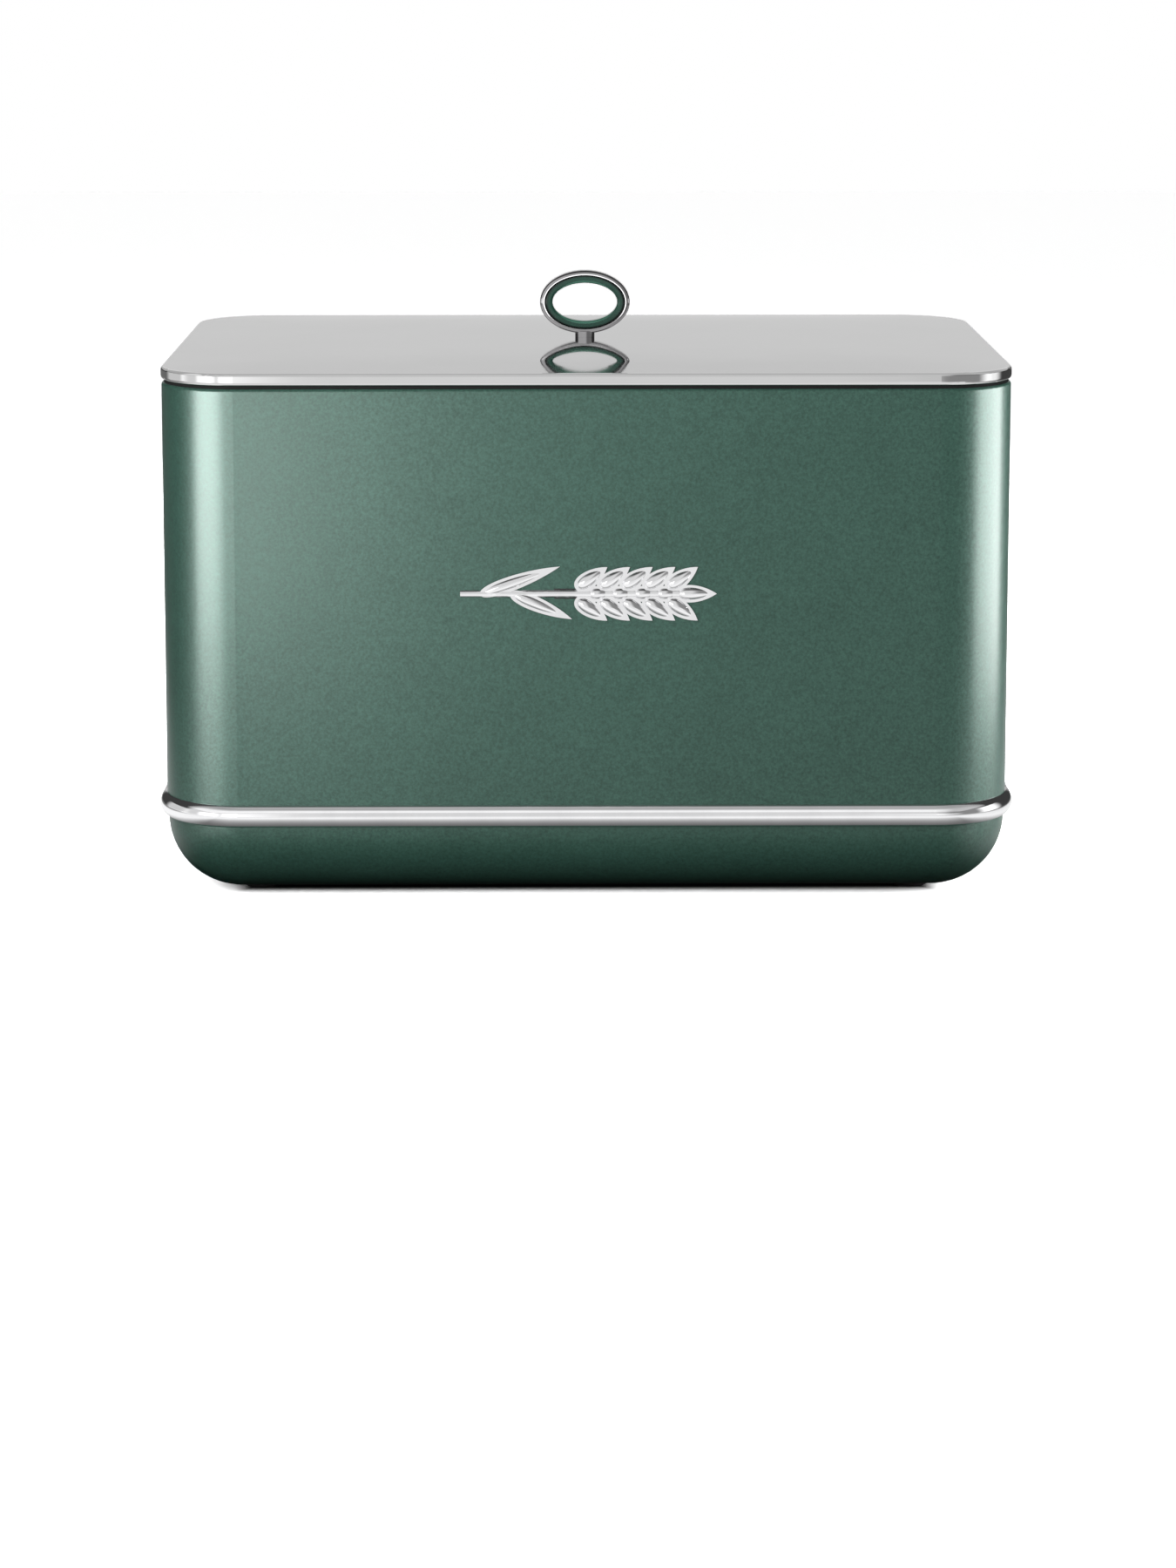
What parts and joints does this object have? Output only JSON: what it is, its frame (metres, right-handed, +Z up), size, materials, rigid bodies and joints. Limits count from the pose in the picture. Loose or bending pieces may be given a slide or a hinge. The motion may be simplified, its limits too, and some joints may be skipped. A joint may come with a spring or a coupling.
{
  "type": "bread bin",
  "caption": "Rounded rectangular sheet-steel bread bin on a deep-drawn pan, with a trim band and a lift-off stainless lid that has an oval ring handle.",
  "frame": {"origin": "on the surface that the bin stands on, under the centre of its four feet", "axes": "+X along the width, -Y towards the front, which has the emblem, +Z up"},
  "size_m": [0.348, 0.235, 0.2468],
  "materials": {
    "green_paint": "satin metallic green enamel",
    "bright_chrome": "polished",
    "lid_steel": "polished stainless",
    "liner_steel": "brushed stainless",
    "plain_steel": "zinc plated",
    "screw_steel": "bright zinc",
    "seal_rubber": "matt black",
    "foot_rubber": "matt black",
    "black_foam": "adhesive foam strip",
    "inlay_green": "gloss green"
  },
  "bodies": {
    "bin": {"body_wrap": "green_paint", "base_pan": "green_paint", "trim_band": "bright_chrome", "band_splice": "plain_steel", "wheat_emblem": "bright_chrome", "emblem_pad": "black_foam", "foot_front_left": "foot_rubber", "foot_front_right": "foot_rubber", "foot_back_left": "foot_rubber", "foot_back_right": "foot_rubber"},
    "lid": {"lid_cover": "lid_steel", "lid_plug": "liner_steel", "lid_seal": "seal_rubber", "handle_frame": "bright_chrome", "handle_inlay": "inlay_green", "handle_plate": "plain_steel", "handle_washer": "screw_steel", "handle_screw": "screw_steel"}
  },
  "joints": [
    {"name": "lid_lift", "type": "slide", "parent": "bin", "child": "lid", "axis": [0, 0, 1], "range_m": [0, 0.15]}
  ]
}
